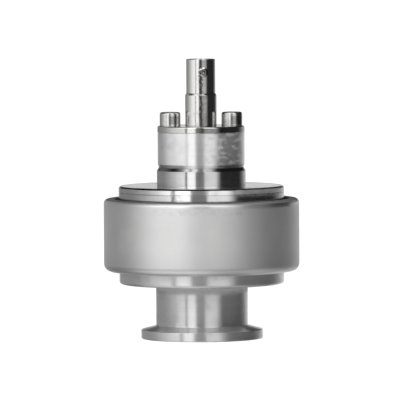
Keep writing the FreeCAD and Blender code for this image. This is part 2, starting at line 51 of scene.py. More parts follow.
# Camera, worked out from the photograph: a long lens, a little above the object
PHOTO_WIDTH_MM = 134.5
CAMERA_DISTANCE = 2.0
CAMERA_HEIGHT = 0.149
AIM_X_MM = 1.0
AIM_Z_MM = 44.0
ROLL_DEG = 0.31
SENSOR_WIDTH_MM = 36.0
CLIP_NEAR = 0.05
CLIP_FAR = 60.0

# Forms that the frame's boxes don't give
EDGE_BREAK = 0.12
INSIDE_CORNER = 0.15
ARC_STEPS_SMALL = 4
ARC_STEPS_LARGE = 12
LARGE_ARC = 0.5
ARC_SUPPORT = 0.02
ARC_REACH_SHARE = 0.45
ARC_SUPPORT_SHARE = 0.4
SHARP = 0.0
SHARP_POINTS = 3
AROUND_LARGE = 360
AROUND_SMALL = 192
FLANGE_RADIUS = 20.0
FLANGE_RIM_HEIGHT = 3.0
FLANGE_CONE_DEG = 15.0
FLANGE_EDGE_RADIUS = 0.35
FLANGE_ROOT_RADIUS = 0.5
RECESS_RADIUS = 13.1
RECESS_DEPTH = 3.0
CHAMBER_RADIUS = 12.5
NECK_RADIUS = 15.1
NECK_HEIGHT = 18.0
CARRIER_EDGE_RADIUS = 1.0
GROOVE_DEPTH = 0.6
GROOVE_CLEARANCE = 0.05
CASING_WALL = 3.35
CASING_WEB = 2.0
CASING_CORNER_RADIUS = 2.6
STACK_BORE = 15.25
SEAM_CHAMFER = 0.15
SEAM_EDGE_BREAK = 0.05
LID_EDGE_BREAK = 0.1
LID_THICKNESS = 2.05
LID_CHAMFER = 0.55
COLLAR_RADIUS = 14.65
COLLAR_CHAMFER_HEIGHT = 1.1
COLLAR_CHAMFER_DEPTH = 0.65
SPIGOT_RADIUS = 12.45
SPIGOT_WALL = 2.95
SEAT_RADIUS = 7.0
SEAT_BORE = 4.7
SEAT_DEPTH = 6.0
CAP_CHAMFER_HEIGHT = 1.1
CAP_CHAMFER_DEPTH = 0.4
CAP_FLOOR_THICKNESS = 1.0
CAP_FLOOR_BORE = 5.6
CAP_CAVITY_RADIUS = 6.6
PLATE_EDGE_RADIUS = 0.45
PLATE_BORE = 4.1
SCREW_RADIUS = 2.0
SCREW_HEAD_RADIUS = 3.45
SCREW_HEAD_EDGE_RADIUS = 0.8
SOCKET_ACROSS_FLATS = 3.0
SOCKET_DEPTH = 2.2
SOCKET_MOUTH = 0.22
SOCKET_MOUTH_ROWS = 4
SOCKET_FLOOR_CORNER = 0.05
SCREW_POINT = 0.5
SCREW_HEAD_CORNER = 0.1
SCREW_SHARP_DEG = 28.0
BARREL_RADIUS = 4.8
BARREL_HEIGHT = 11.3
BARREL_EDGE_RADIUS = 0.25
BASE_BARREL_RADIUS = 5.2
SHOULDER_HEIGHT = 0.6
SHELL_BORE = 4.05
SHELL_BORE_DEPTH = 9.0
SHELL_TAIL_RADIUS = 4.0
SHELL_CORE = 3.2
LUG_RADIUS = 1.0
LUG_FROM_TOP = 4.3
LUG_AZIMUTH_DEG = -80.0
LUG_ROOT_RADIUS = 4.4
LUG_ROOT_FLARE = 0.9
LUG_ROOT_RISE = 0.35
LUG_SINK = 0.02
LUG_DIMPLE_RADIUS = 0.75
LUG_DIMPLE_DEPTH = 0.12
LUG_EDGE_RADIUS = 0.2
LUG_TIP = 5.5
AROUND_LUG = 64
LUG_FLARE_ROWS = 8
LUG_EDGE_ROWS = 6
LUG_DIMPLE_ROWS = 9
# Marks on the lug: painted highlight above and below it, painted shade beside it and round its dimple
LUG_HIGHLIGHT = 3.0
LUG_HIGHLIGHT_LOSS = 1.4
LUG_MARKS = (-0.8, 1.6)
LUG_RING_SHADE = -0.5
LUG_SHADED_EDGE_ROWS = 2
LUG_UNSHADED_MIDDLE_ROWS = 3
MERGE_DISTANCE = 1e-6

# Finishes: linear greys, and the turn of the brushed look that spreads it up and down
# Colour of painted shade
PAINTED_SHADE_COLOUR = (0.02, 0.02, 0.02, 1.0)
# Grey of the zones painted lighter
PAINTED_LIGHT_LEVEL = 0.96
# Brightest grey of edge wear and of the lug's painted highlights
BRIGHTEST_WEAR_AND_HIGHLIGHT = 0.95
BRUSHED_UP_AND_DOWN = 0.25
RING_PITCH_OUTWARD = 1.37

# Zones round the axis, in degrees with the front at -90: start, softness, end, softness
# Painted light on the cap's left side
CAP_LIT_ZONE = (-145, 24, -108, 24)
CAP_SMEAR_ZONE = (-88, 10, -14, 20)
# Painted shade round the cap's groove, more on these sides
CAP_SHADE_LEFT = (-168, 16, -113, 8)
CAP_SHADE_RIGHT = (-67, 8, -12, 16)
# Painted light on the plate's left side
PLATE_LIT_ZONE = (-156, 20, -126, 24)
# Painted shade right of the plate's front
PLATE_SHADE_ZONE = (-91, 5, -58, 16)
# Painted light on the barrel's left side
BARREL_LIT_ZONE = (-160, 30, -114, 30)
# Painted shade right of the barrel's front, with a dark painted streak
BARREL_SHADE_ZONE = (-91, 5, -62, 16)
BARREL_STREAK_ZONE = (-95, 3, -87, 3)
# Painted light on the fronts of the lid's rim and the pole plate
LID_LIT_ZONE = (-118, 16, -64, 8)
POLE_PLATE_LIT_ZONE = (-112, 10, -66, 6)
# Dull coat with painted light on the right of the lid's rim and the pole plate
RIM_FILM_AND_LIGHT_ZONE = (-66, 5, -14, 16)
CASING_HANDLED_ZONE = (-118, 5, -62, 16)
# Painted shade on the casing's top corner at the right
CASING_LIP_SHADE_ZONE = (-46, 16, -26, 10)
# Painted shade on the casing's left and front
CASING_SHADE_LEFT = (-160, 30, -128, 30)
CASING_SHADE_FRONT = (-84, 20, -62, 16)
BARREL_STREAK_WANDER = 40.0

# How much of the metal a dull coat, painted light or painted shade covers, and its patches to a metre
PATCH_LEAST = 0.6
# Shares of painted light on the plate and the pole plate
PLATE_LIT_SHARE = 0.8
POLE_PLATE_LIT_SHARE = 0.45
# Share of the pole plate's dull coat with painted light
POLE_PLATE_FILM_AND_LIGHT_SHARE = 0.75
RIM_FILM_AND_LIGHT_CELLS = 260.0
# Share of painted shade on the casing's lip
LIP_SHADE_SHARE = 0.75
# Share of painted shade on the lid's upper edge
LID_EDGE_SHARE = 0.9
# Shares of painted shade round the cap's groove
CAP_SHADE_ALL_ROUND = 0.2
CAP_SHADE_SIDES = 0.4
# Share of painted shade on the plate
PLATE_SHADE_SHARE = 0.85
# Share of painted shade on the screws
SCREW_SHADE_SHARE = 0.6
# Shares of painted shade on the barrel, and more on its base
BARREL_SHADE_SHARE = 0.58
BASE_BARREL_MORE = 0.26

# Bands of height and of reach, in millimetres from an edge: low, softness, high, softness
# Painted shade round the neck under the carrier
NECK_SHADE_BAND = (-2.2, 2.4, 0.45, 0.3)
NECK_SHADE_REACH = (-0.45, 0.3, 0.9, 1.2)
# Dull coat with painted light on the lid's rim
LID_FILM_AND_LIGHT_BAND = (0.2, 0.2, 1.75, 0.3)
# Painted light on the lid's rim
LID_LIT_BAND = (-0.5, 0.2, 2.15, 0.2)
# Painted shade on the lid's upper edge
LID_EDGE_BAND = (-0.5, 0.1, -0.06, 0.1)
# Painted light on the pole plate, thinning downward
POLE_PLATE_FILM_AND_LIGHT_RISE = (-1.4, 0.6)
# Painted shade round the cap's groove
CAP_GROOVE_BAND = (-1.1, 0.2, 1.0, 0.3)
# Painted shade in the groove round the pole plate
GROOVE_SHADE_BAND = (-2.75, 0.5, -0.2, 0.4)
GROOVE_SHADE_SPREAD = (0.05, 0.6)
# Painted shade on the casing's lip
LIP_SHADE_RISE = (-4.0, -3.0)
LIP_SHADE_FADE = (-0.65, -0.35)
# Painted shade deepens on the base barrel
BASE_BARREL_RISE = (-1.0, 0.0)
# Painted shade, darker towards the bottom of the casing
CASING_LOWER_SHADE_HEIGHT = 14.0
CASING_HANDLED_BAND = (-4.2, 1.0, -2.2, 1.0)
# Painted shade on the casing's top corner at the right
CASING_LIP_SHADE_BAND = (-2.0, 0.8, -0.7, 0.3)
CASING_SHINY_BAND = (-2.1, 0.8, -0.9, 0.2)
# Painted shade on the sides of the screw heads
SCREW_SHADE_REACH = (-0.3, 0.5, 2.9, 0.5)
SCREW_SHADE_LOW = 0.5
SCREW_SHADE_HIGH = 1.35
SCREW_SHADE_SOFTNESS = 0.5

# Light tent, in degrees: azimuth from the camera's side towards +X, and elevation
TENT_LEVEL = 0.025
BACKDROP_LEVEL = 0.7
BACKDROP_LEFT = (140, 184)
BACKDROP_RIGHT = (112, 172)
BACKDROP_RISE = (-50, 20, 10, 10)
CAMERA_BACKGROUND = 1.05
# Panels: azimuth from, its softness, to, its softness, elevation likewise, level
TENT_PANELS = [
    (-150, 20, -42, 3, -14, 14, 34, 12, 0.25),
    (-95, 25, -42, 3, 46, 12, 74, 8, 0.25),
    (-72, 100, -42, 3, -14, 14, 34, 12, 0.93),
    (-72, 35, -42, 3, 46, 12, 74, 8, 0.93),
    (-37, 3, -15, 3, -14, 14, 74, 8, 1.32),
    (-15, 3, 8, 3, -14, 14, 74, 8, 0.18),
    (8, 4, 44, 20, -14, 14, 74, 8, 0.88),
    (-75, 30, -15, 4, 20, 16, 44, 10, 0.7),
    (10, 5, 42, 14, 22, 14, 44, 10, 0.9),
    (-15, 4, 62, 20, 64, 6, 77, 6, 0.9),
    (150, 25, 181, 1, 50, 12, 80, 6, 0.5),
    (-181, 1, -150, 25, 50, 12, 80, 6, 0.5),
    (-110, 20, 10, 60, -90, 1, -30, 20, 0.75),
    (10, 60, 110, 20, -90, 1, -30, 20, 0.40),
]

# Floor, which glows a little so that it stays pale
FLOOR_RADIUS = 12.0
FLOOR_DROP = 0.02
FLOOR_GREY = 0.5
FLOOR_ROUGHNESS = 0.9
FLOOR_GLOW = 0.9


def box_mm(node):
    """Outer radius, lowest level and highest level of a node's box, in millimetres."""
    low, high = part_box(node)
    return high.x / MM, low.z / MM, high.z / MM


class Socket:
    """Wraps an output socket. An expression on such values adds its Math nodes."""

    def __init__(self, graph, socket):
        self.graph = graph
        self.socket = socket

    def math(self, operation, first, second):
        """Adds one Math node for an operation on two values."""
        return self.graph.node("ShaderNodeMath", {"operation": operation}, [first, second])

    def __add__(self, other):
        return self.math("ADD", self, other)

    def __radd__(self, other):
        return self.math("ADD", other, self)

    def __sub__(self, other):
        return self.math("SUBTRACT", self, other)

    def __rsub__(self, other):
        return self.math("SUBTRACT", other, self)

    def __mul__(self, other):
        return self.math("MULTIPLY", self, other)

    def __rmul__(self, other):
        return self.math("MULTIPLY", other, self)

    def __truediv__(self, other):
        return self.math("DIVIDE", self, other)

    def __pow__(self, other):
        return self.math("POWER", self, other)


class Graph:
    """The nodes of one material or of the world."""

    def __init__(self, owner):
        owner.use_nodes = True
        self.tree = owner.node_tree
        self.tree.nodes.clear()
        self.split = None

    def node(self, kind, settings=None, values=None, output=0):
        """Adds a node of a type: its settings first, then values or links of its sockets."""
        made = self.tree.nodes.new(kind)
        for name, setting in (settings or {}).items():
            setattr(made, name, setting)
        pairs = values.items() if isinstance(values, dict) else enumerate(values or [])
        for key, value in pairs:
            target = made.inputs[key]
            if isinstance(value, Socket):
                self.tree.links.new(value.socket, target)
            else:
                target.default_value = value
        if not made.outputs:
            return made
        return Socket(self, made.outputs[output])

    def window(self, value, start, start_soft, end, end_soft):
        """1 between start and end, with a smooth step of its own width at each end."""
        rise = self.smooth(value, start - start_soft / 2, start + start_soft / 2)
        fall = self.smooth(value, end - end_soft / 2, end + end_soft / 2)
        return rise * (1.0 - fall)

    def smooth(self, value, start, end):
        """0 below start, 1 above end, with a smooth step between them."""
        settings = {"interpolation_type": "SMOOTHSTEP"}
        return self.node("ShaderNodeMapRange", settings, [value, start, end, 0.0, 1.0])

    def noise(self, cells, detail=2.0, roughness=0.5, vector=None):
        """Noise from 0 to 1, with so many cells to a metre of the object or of a vector."""
        values = {"Vector": vector or self.coordinates(), "Scale": cells, "Detail": detail,
                  "Roughness": roughness}
        return self.node("ShaderNodeTexNoise", {"noise_dimensions": "3D"}, values)

    def mix_colour(self, factor, first, second):
        """Colour between two colours. A Mix node's colour sockets are 6 and 7, its result 2."""
        values = {0: factor, 6: first, 7: second}
        return self.node("ShaderNodeMix", {"data_type": "RGBA"}, values, 2)

    def coordinates(self, kind="Object"):
        """Coordinates as one vector."""
        return self.node("ShaderNodeTexCoord", output=kind)

    def axes(self, kind="Object"):
        """Coordinates as x, y and z, made once in a graph."""
        if not self.split:
            vector = self.coordinates(kind)
            self.split = [self.node("ShaderNodeSeparateXYZ", None, [vector], axis)
                          for axis in ("X", "Y", "Z")]
        return self.split

    def height(self):
        """Height above the sealing face, in millimetres."""
        _, _, z = self.axes()
        return z / MM

    def reach(self):
        """Distance from the axis, in millimetres."""
        x, y, _ = self.axes()
        return (x * x + y * y) ** 0.5 / MM

    def turn(self):
        """Turn about the axis in degrees, 0 at +X and -90 at the front."""
        x, y, _ = self.axes()
        return self.angle("ARCTAN2", y, x)

    def angle(self, operation, *values):
        """Angle in degrees from an inverse function."""
        return self.node("ShaderNodeMath", {"operation": operation}, values) * math.degrees(1)

    def rings(self, along, across, detail=2.0, roughness=0.5):
        """Noise of turning marks, with few cells to a metre along the turn and many across it.

        The quick axis is z plus a multiple of the distance from the axis, so that walls,
        flat faces and cones all carry rings.
        """
        x, y, z = self.axes()
        reach = (x * x + y * y) ** 0.5
        values = [x * along, y * along, (z + reach * RING_PITCH_OUTWARD) * across]
        return self.noise(1.0, detail, roughness, self.node("ShaderNodeCombineXYZ", None, values))


def grey(level, warmth=0.0):
    """Linear colour of a grey level, a little warmer or cooler."""
    return (level * (1 + warmth), level, level * (1 - warmth), 1.0)


def wear_and_shade_marks(graph):
    """Share of wear on an edge break or of a painted highlight, and share of painted shade in an inner
    corner, from the mesh's edge marks.
    """
    mark = graph.node("ShaderNodeAttribute", {"attribute_name": "edge"}, output="Fac")
    wear_and_highlight = graph.node("ShaderNodeMath", {"operation": "MAXIMUM"}, [mark, 0.0])
    painted_corner_shade = graph.node("ShaderNodeMath", {"operation": "MAXIMUM"}, [0.0 - mark, 0.0])
    return wear_and_highlight, painted_corner_shade


def finished(name, shader):
    """Material from a function that makes its surface in a graph."""
    material = bpy.data.materials.new(name)
    graph = Graph(material)
    graph.node("ShaderNodeOutputMaterial", None, {"Surface": shader(graph)})
    return material


def surface_of(graph, colour, roughness, bump, brushed=0.0, metallic=1.0):
    """Principled surface. Brushed metal spreads its reflections up and down."""
    values = {"Base Color": colour, "Roughness": roughness, "Metallic": metallic, "Normal": bump,
              "Anisotropic": brushed, "Anisotropic Rotation": BRUSHED_UP_AND_DOWN}
    return graph.node("ShaderNodeBsdfPrincipled", None, values)


def bump_of(graph, height, distance, under=None):
    """Normal bent by a height from 0 to 1 over a distance in millimetres."""
    values = {"Distance": distance * MM, "Height": height}
    if under is not None:
        values["Normal"] = under
    return graph.node("ShaderNodeBump", None, values)


def turned_finish(name, level, rough, brushed, ring_depth, smudge, metallic=1.0, painted_light=None,
                  painted_light_satin=0.0, film_and_painted_light=None, film_and_painted_level=0.9, haze_rough=0.3, grime=None):
    """Turned metal: fine rings in bump and roughness, wiped smudges, brighter broken edges and painted
    shade in inner corners.

    Three optional functions give the shares of a zone painted lighter, which may be
    satin, of a dull coat, which carries painted shade on the neck and painted light on
    the rims, and of painted shade.
    """
    def shader(graph):
        fine = graph.rings(along=40.0, across=7000.0, detail=3.0, roughness=0.6)
        broad = graph.rings(along=25.0, across=900.0)
        wiped = graph.smooth(graph.noise(cells=140.0, detail=4.0, roughness=0.6), 0.5, 0.72)
        scratch = graph.smooth(graph.rings(along=220.0, across=2600.0, detail=1.0), 0.66, 0.78)
        wear_and_highlight, painted_corner_shade = wear_and_shade_marks(graph)
        shade = graph.mix_colour(broad, grey(level * 0.93), grey(level * 1.05))
        share = metallic
        # A zone painted lighter, which may be more satin
        if painted_light:
            lit_share = painted_light(graph)
            shade = graph.mix_colour(lit_share, shade, grey(PAINTED_LIGHT_LEVEL))
            share = metallic - lit_share * painted_light_satin
        shade = graph.mix_colour(wiped * smudge, shade, grey(level * 0.8, 0.01))
        shade = graph.mix_colour(scratch * smudge * 0.5, shade, grey(0.97))
        shade = graph.mix_colour(wear_and_highlight * 0.35, shade, grey(min(level * 1.2, BRIGHTEST_WEAR_AND_HIGHLIGHT)))
        # Painted shade in inner corners
        shade = graph.mix_colour(painted_corner_shade * 0.3, shade, PAINTED_SHADE_COLOUR)
        if grime:
            shade = graph.mix_colour(grime(graph), shade, PAINTED_SHADE_COLOUR)
        roughness = (rough - 0.03) + fine * 0.04 + broad * 0.03 + wiped * (0.35 * smudge) + scratch * 0.05
        # Dull coat: painted shade on the neck, painted light on the rims, real smears on the cap
        if film_and_painted_light:
            film_and_painted_share = film_and_painted_light(graph)
            roughness = roughness + film_and_painted_share * haze_rough
            shade = graph.mix_colour(film_and_painted_share * 0.4, shade, grey(film_and_painted_level))
            share = share - film_and_painted_share * 0.32
        bump = bump_of(graph, fine * 0.5 + broad * 0.5 + scratch * 0.3, ring_depth)
        return surface_of(graph, shade, roughness, bump, brushed, share)
    return finished(name, shader)


def casing_finish(name, level, rough, metallic, grain_depth):
    """Bead-blasted casing: dense fine dimples, faint clouds, handled marks and a shiny corner, with
    painted shade towards the bottom, on the left and front, on the top corner at the right and on the
    lip.
    """
    _, low, high = box_mm("magnet_casing")

    def shader(graph):
        grain = graph.noise(cells=5200.0, roughness=0.6)
        clouds = graph.noise(cells=90.0, detail=5.0, roughness=0.6)
        specks = graph.smooth(graph.noise(cells=900.0), 0.68, 0.8)
        fingers = graph.smooth(graph.noise(cells=380.0, detail=5.0, roughness=0.7), 0.42, 0.75)
        wear_and_highlight, _ = wear_and_shade_marks(graph)
        # Painted shade, darker towards the bottom
        lower_shade = graph.smooth(graph.height(), high - CASING_LOWER_SHADE_HEIGHT, low)
        handled = patchy_zone(graph, CASING_HANDLED_ZONE, cells=160.0) * fingers
        handled = handled * band(graph, high, CASING_HANDLED_BAND)
        # Painted shade on the top corner at the right
        lip_corner_shade = patchy_zone(graph, CASING_LIP_SHADE_ZONE, cells=300.0)
        lip_corner_shade = lip_corner_shade * band(graph, high, CASING_LIP_SHADE_BAND)
        # Painted shade on the left and the front
        side_shade = (patchy_zone(graph, CASING_SHADE_LEFT, cells=60.0) * 0.3
                  + patchy_zone(graph, CASING_SHADE_FRONT, cells=60.0) * 0.18)
        # Painted shade on the lip, with a duller surface
        film_and_painted_share = lip_painted_shade(graph)
        shade = graph.mix_colour(clouds, grey(level * 0.93, 0.003), grey(level * 1.06, 0.003))
        shade = graph.mix_colour(lower_shade * 0.6, shade, grey(level * 0.82))
        shade = graph.mix_colour(handled * 0.5, shade, grey(level * 0.7))
        shade = graph.mix_colour(lip_corner_shade * 0.6, shade, PAINTED_SHADE_COLOUR)
        shade = graph.mix_colour(specks * 0.3, shade, grey(level * 0.72))
        shade = graph.mix_colour(side_shade, shade, PAINTED_SHADE_COLOUR)
        shade = graph.mix_colour(wear_and_highlight * 0.2, shade, grey(BRIGHTEST_WEAR_AND_HIGHLIGHT))
        shade = graph.mix_colour(film_and_painted_share, shade, PAINTED_SHADE_COLOUR)
        roughness = (rough - 0.04) + clouds * 0.08 + specks * 0.05 - wear_and_highlight * 0.16 + film_and_painted_share * 0.2
        roughness = roughness - band(graph, high, CASING_SHINY_BAND) * 0.12
        bump = bump_of(graph, grain * 0.8 + specks * 0.2, grain_depth)
        return surface_of(graph, shade, roughness, bump, metallic=metallic * (1.0 - film_and_painted_share))
    return finished(name, shader)


def plated_finish(name, level, rough, wave, warmth=0.01, painted_light=None, painted_shade_zone=None):
    """Bright nickel plate: soft waves under the plate, fine rings and small pits.

    Two optional functions give the shares of a zone painted lighter and of painted shade.
    """
    def shader(graph):
        waves = graph.noise(cells=420.0)
        rings = graph.rings(along=60.0, across=4200.0, roughness=0.6)
        stains = graph.smooth(graph.noise(cells=260.0, detail=4.0, roughness=0.6), 0.52, 0.74)
        pits = graph.smooth(graph.noise(cells=2600.0, detail=1.0), 0.7, 0.78)
        wear_and_highlight, painted_corner_shade = wear_and_shade_marks(graph)
        shade = graph.mix_colour(stains * 0.5, grey(level, warmth), grey(level * 0.78, warmth * 2))
        # A zone painted lighter
        if painted_light:
            shade = graph.mix_colour(painted_light(graph), shade, grey(PAINTED_LIGHT_LEVEL, warmth))
        # A zone of painted shade
        if painted_shade_zone:
            shade = graph.mix_colour(painted_shade_zone(graph), shade, grey(level * 0.3, warmth * 2))
        # Lighter edge wear, and painted highlights on the lug's flare
        shade = graph.mix_colour(wear_and_highlight * 0.6, shade, grey(min(level * 1.4, BRIGHTEST_WEAR_AND_HIGHLIGHT), warmth))
        # Painted shade in inner corners, beside the lug and round its dimple
        shade = graph.mix_colour(painted_corner_shade * 0.85, shade, PAINTED_SHADE_COLOUR)
        roughness = (rough - 0.02) + rings * 0.05 + stains * 0.08
        under = bump_of(graph, waves, wave)
        bump = bump_of(graph, rings * 0.6 - pits * 0.6, 0.003, under)
        return surface_of(graph, shade, roughness, bump)
    return finished(name, shader)


def drawn_finish(name, colour, rough, grain):
    """Drawn or stamped metal: cloudy colour over a close grain."""
    def shader(graph):
        clouds = graph.noise(cells=350.0, detail=4.0, roughness=0.6)
        close = graph.noise(cells=6000.0)
        dark = tuple(part * 0.8 for part in colour[:3]) + (1.0,)
        shade = graph.mix_colour(clouds, dark, colour)
        roughness = (rough - 0.05) + clouds * 0.1
        return surface_of(graph, shade, roughness, bump_of(graph, close, grain))
    return finished(name, shader)


def dull_finish(name, dark, light, rough, grain, cells):
    """Ceramic, rubber, ferrite or plastic: cloudy colour over a close grain."""
    def shader(graph):
        clouds = graph.noise(cells=260.0, detail=4.0, roughness=0.6)
        close = graph.noise(cells, detail=3.0, roughness=0.6)
        shade = graph.mix_colour(clouds * 0.6 + close * 0.4, dark, light)
        roughness = (rough - 0.06) + close * 0.12
        return surface_of(graph, shade, roughness, bump_of(graph, close, grain), metallic=0.0)
    return finished(name, shader)


def band(graph, edge, limits):
    """Share of a band of height, whose limits are measured from an edge."""
    return graph.window(graph.height() - edge, *limits)


def zone(graph, limits):
    """Share of a zone round the axis."""
    return graph.window(graph.turn(), *limits)


def patchy_zone(graph, limits, cells):
    """Share of a zone round the axis, broken into patches."""
    patches = graph.smooth(graph.noise(cells, detail=3.0, roughness=0.6), 0.2, 0.6)
    return zone(graph, limits) * (PATCH_LEAST + (1 - PATCH_LEAST) * patches)


def neck_painted_shade(graph):
    """Painted shade round the top of the neck under the carrier, with a duller surface, thinning
    downward.
    """
    on_neck = graph.window(graph.reach() - NECK_RADIUS, *NECK_SHADE_REACH)
    return on_neck * band(graph, NECK_HEIGHT, NECK_SHADE_BAND)


def groove_painted_shade(graph):
    """Painted shade in the groove round the pole plate, fading just above and beside its mouth."""
    casing_radius, _, casing_top = box_mm("magnet_casing")
    beside = graph.reach() - (casing_radius - CASING_WALL)
    inside = 1.0 - graph.smooth(beside, *GROOVE_SHADE_SPREAD)
    return inside * band(graph, casing_top, GROOVE_SHADE_BAND)


def lip_painted_shade(graph):
    """Painted shade on the casing's lip, with a duller surface, from the groove to the start of its outer
    corner.
    """
    casing_radius, _, casing_top = box_mm("magnet_casing")
    inside = 1.0 - graph.smooth(graph.reach() - casing_radius, *LIP_SHADE_FADE)
    above = graph.smooth(graph.height() - casing_top, *LIP_SHADE_RISE)
    return inside * above * LIP_SHADE_SHARE


def pole_plate_painted_light(graph):
    """Painted light on the front of the pole plate."""
    return zone(graph, POLE_PLATE_LIT_ZONE) * POLE_PLATE_LIT_SHARE


def pole_plate_film_and_light(graph):
    """Dull coat with painted light on the right of the pole plate, thinning downward."""
    _, _, seam = box_mm("upper_pole_plate")
    rise = graph.smooth(graph.height() - seam, *POLE_PLATE_FILM_AND_LIGHT_RISE)
    return patchy_zone(graph, RIM_FILM_AND_LIGHT_ZONE, RIM_FILM_AND_LIGHT_CELLS) * rise * POLE_PLATE_FILM_AND_LIGHT_SHARE


def lid_painted_light(graph):
    """Painted light on the front of the lid's rim."""
    _, _, seam = box_mm("upper_pole_plate")
    return zone(graph, LID_LIT_ZONE) * band(graph, seam, LID_LIT_BAND)


def lid_film_and_light(graph):
    """Dull coat with painted light on the right of the lid's rim."""
    _, _, seam = box_mm("upper_pole_plate")
    return patchy_zone(graph, RIM_FILM_AND_LIGHT_ZONE, RIM_FILM_AND_LIGHT_CELLS) * band(graph, seam, LID_FILM_AND_LIGHT_BAND)


def cap_painted_shade(graph):
    """Painted shade on both sides of the groove where the cap stands on the collar, thin all round and
    darker to the left and right.
    """
    _, seam, _ = box_mm("cap_body")
    sides = zone(graph, CAP_SHADE_LEFT) + zone(graph, CAP_SHADE_RIGHT)
    return band(graph, seam, CAP_GROOVE_BAND) * (sides * CAP_SHADE_SIDES + CAP_SHADE_ALL_ROUND)


def flange_painted_shade(graph):
    """Painted shade on the lid's upper edge, besides the one under the cap."""
    _, _, seam = box_mm("upper_pole_plate")
    lid_edge = band(graph, seam + LID_THICKNESS, LID_EDGE_BAND)
    return cap_painted_shade(graph) + lid_edge * LID_EDGE_SHARE


def cap_painted_light(graph):
    """Painted light on the left side of the cap."""
    return zone(graph, CAP_LIT_ZONE)


def cap_smears(graph):
    """Fingerprints wiped round the front and right of the cap."""
    smears = graph.rings(along=260.0, across=700.0, detail=4.0, roughness=0.65)
    return zone(graph, CAP_SMEAR_ZONE) * graph.smooth(smears, 0.48, 0.66)


def plate_painted_light(graph):
    """Painted light on the left side of the plate."""
    return zone(graph, PLATE_LIT_ZONE) * PLATE_LIT_SHARE


def plate_painted_shade(graph):
    """Painted shade right of the middle of the plate's front."""
    return patchy_zone(graph, PLATE_SHADE_ZONE, cells=450.0) * PLATE_SHADE_SHARE


def screw_painted_shade(graph):
    """Painted shade on the right of each screw's head, between its two rims."""
    screw_reach, _, head_top = box_mm("cap_screws")
    _, _, head_bottom = box_mm("cap_plate")
    x, _, _ = graph.axes()
    side = graph.node("ShaderNodeMath", {"operation": "SIGN"}, [x])
    beside = x / MM - side * (screw_reach - SCREW_HEAD_RADIUS)
    between = graph.window(graph.height(), head_bottom + SCREW_SHADE_LOW, SCREW_SHADE_SOFTNESS,
                           head_top - SCREW_SHADE_HIGH, SCREW_SHADE_SOFTNESS)
    return graph.window(beside, *SCREW_SHADE_REACH) * between * SCREW_SHADE_SHARE


def barrel_painted_light(graph):
    """Painted light on the left side of the connector's barrel."""
    return zone(graph, BARREL_LIT_ZONE)


def barrel_painted_shade(graph):
    """Painted shade on the right of the connector, darker on its base, beside a wandering dark painted
    streak.
    """
    _, _, top = box_mm("connector_shell")
    base = 1.0 - graph.smooth(graph.height() - (top - BARREL_HEIGHT), *BASE_BARREL_RISE)
    share = BARREL_SHADE_SHARE + base * BASE_BARREL_MORE
    wash = patchy_zone(graph, BARREL_SHADE_ZONE, cells=500.0) * share
    wander = (graph.noise(cells=700.0, detail=3.0, roughness=0.7) - 0.5) * BARREL_STREAK_WANDER
    streak = graph.window(graph.turn() + wander, *BARREL_STREAK_ZONE)
    return wash + (1.0 - wash) * streak


def arc_points(before, corner, after, radius):
    """Points of an arc tangent to both sides of a corner.

    The tangent points lie at radius / tan(half the corner's angle) from the corner, and
    the points between them turn evenly about the arc's centre. A support point on each
    side keeps the flat next to the arc flat. A radius of 0 keeps the corner sharp.
    """
    back = before - corner
    ahead = after - corner
    back_length = np.linalg.norm(back)
    ahead_length = np.linalg.norm(ahead)
    back = back / back_length
    ahead = ahead / ahead_length
    if radius == SHARP:
        return np.vstack([corner + back * ARC_SUPPORT, corner, corner + ahead * ARC_SUPPORT])
    half = math.acos(max(-1.0, min(1.0, float(back @ ahead)))) / 2
    reach = min(radius / math.tan(half), ARC_REACH_SHARE * min(back_length, ahead_length))
    radius = reach * math.tan(half)
    middle = (back + ahead) / np.linalg.norm(back + ahead)
    centre = corner + middle * radius / math.sin(half)
    first = corner + back * reach - centre
    last = corner + ahead * reach - centre
    turn = math.pi - 2 * half
    steps = ARC_STEPS_LARGE if radius > LARGE_ARC else ARC_STEPS_SMALL
    share = np.linspace(0, 1, steps + 1)[:, None]
    arc = centre + (np.sin((1 - share) * turn) * first + np.sin(share * turn) * last) / math.sin(turn)
    room = min(back_length, ahead_length) - reach
    support = min(ARC_SUPPORT, ARC_SUPPORT_SHARE * room)
    return np.vstack([arc[0] + back * support, arc, arc[-1] + ahead * support])


def rounded_outline(outline):
    """Outline points with every corner rounded, and marks: 1 on edge breaks, for wear, -1 in inner
    corners, for painted shade.

    An outline point is (radius, level) or (radius, level, corner radius). Without a
    corner radius an outer corner gets the edge break and an inner one the tool's radius.
    """
    corners = np.array([point[:2] for point in outline], float)
    points, marks = [], []
    for index, (_, _, *rounding) in enumerate(outline):
        before = corners[index - 1]
        corner = corners[index]
        after = corners[(index + 1) % len(corners)]
        incoming = corner - before
        outgoing = after - corner
        outer = incoming[0] * outgoing[1] - incoming[1] * outgoing[0] > 0
        radius = rounding[0] if rounding else (EDGE_BREAK if outer else INSIDE_CORNER)
        arc = arc_points(before, corner, after, radius)
        mark = np.zeros(len(arc))
        if radius < LARGE_ARC:
            mark[1:-1] = 1.0 if outer else -1.0
        points.append(arc)
        marks.append(mark)
    return np.vstack(points), np.concatenate(marks)


def mesh_of(name, vertices, faces, edge_marks=None):
    """Mesh object from vertices in millimetres, with smooth faces and an edge attribute."""
    mesh = bpy.data.meshes.new(name)
    mesh.from_pydata((vertices * MM).tolist(), [], faces)
    mesh.polygons.foreach_set("use_smooth", np.ones(len(mesh.polygons), bool))
    if edge_marks is not None:
        attribute = mesh.attributes.new("edge", "FLOAT", "POINT")
        attribute.data.foreach_set("value", edge_marks.astype(np.float32))
    mesh.update()
    made = bpy.data.objects.new(name, mesh)
    bpy.context.scene.collection.objects.link(made)
    return made


